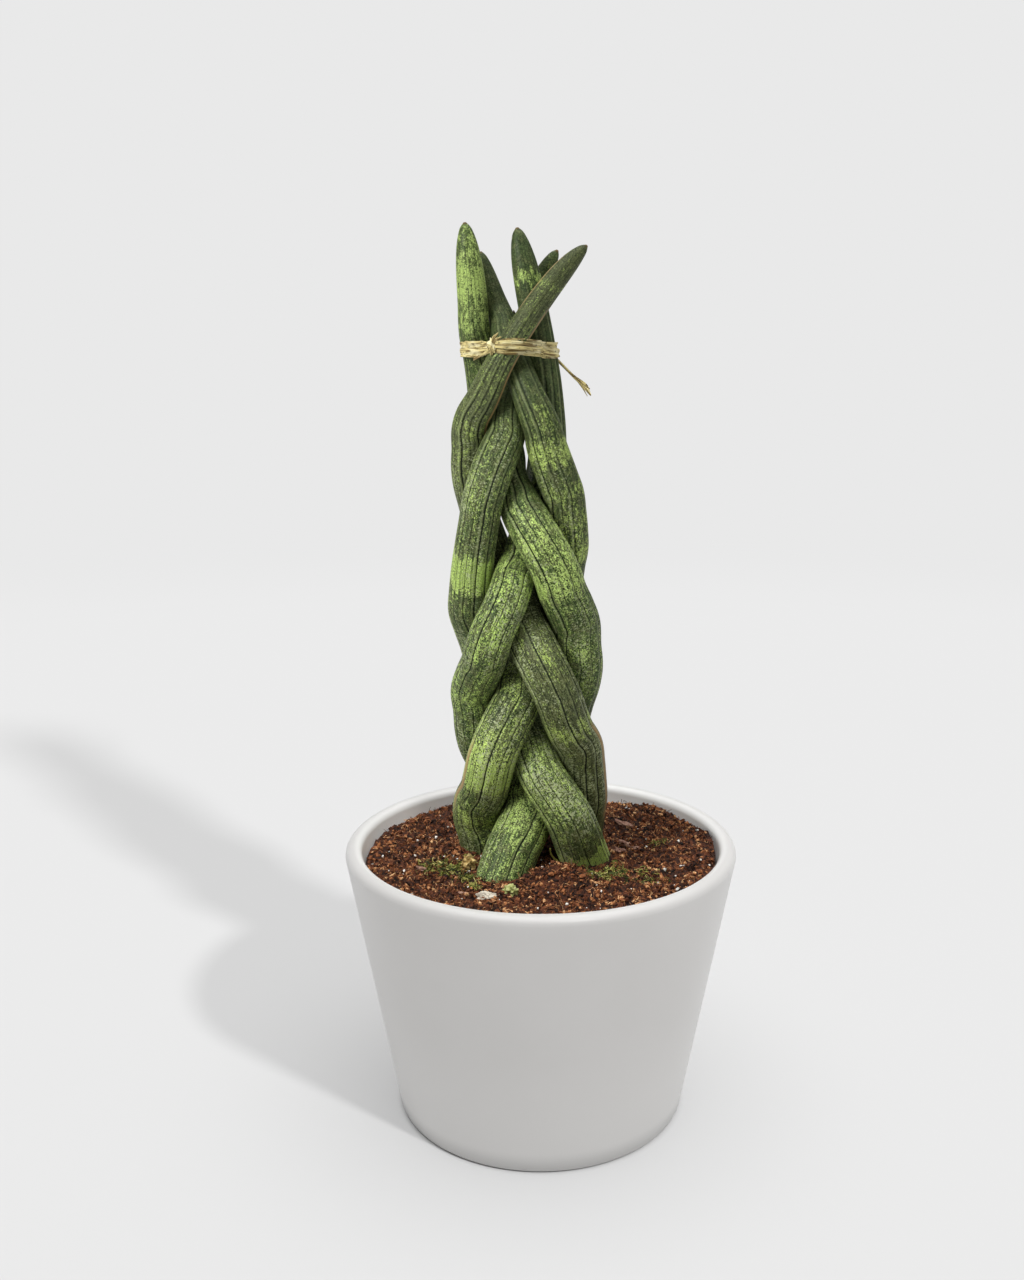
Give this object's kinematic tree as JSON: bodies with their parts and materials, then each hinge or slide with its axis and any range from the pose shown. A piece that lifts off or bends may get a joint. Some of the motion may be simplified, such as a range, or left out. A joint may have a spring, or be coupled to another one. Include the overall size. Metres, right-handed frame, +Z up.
{
  "type": "potted braided snake plant",
  "caption": "Cylindrical snake plant with its leaves plaited upright and tied near the tips with raffia, standing in coir in a tapered round glazed pot.",
  "frame": {"origin": "middle of the pot's flat foot, on the surface it stands on", "axes": "+Z up along the pot's axis; -Y is the front of the braid, as in the picture; +X is to the right seen from the front"},
  "size_m": [0.1488, 0.1488, 0.3315],
  "materials": {
    "glaze": "satin",
    "coir": "matte",
    "bark": "matte",
    "stone": "matte",
    "moss": "matte",
    "leaf": "satin",
    "raffia": "matte"
  },
  "bodies": {
    "root": {"pot": "glaze", "soil": "coir", "bark_chip": "bark", "stone_chip": "stone", "moss_lump": "moss", "leaf_1": "leaf", "leaf_2": "leaf", "leaf_3": "leaf", "leaf_4": "leaf", "leaf_5": "leaf", "leaf_slender": "leaf", "raffia_tie": "raffia"}
  },
  "joints": []
}
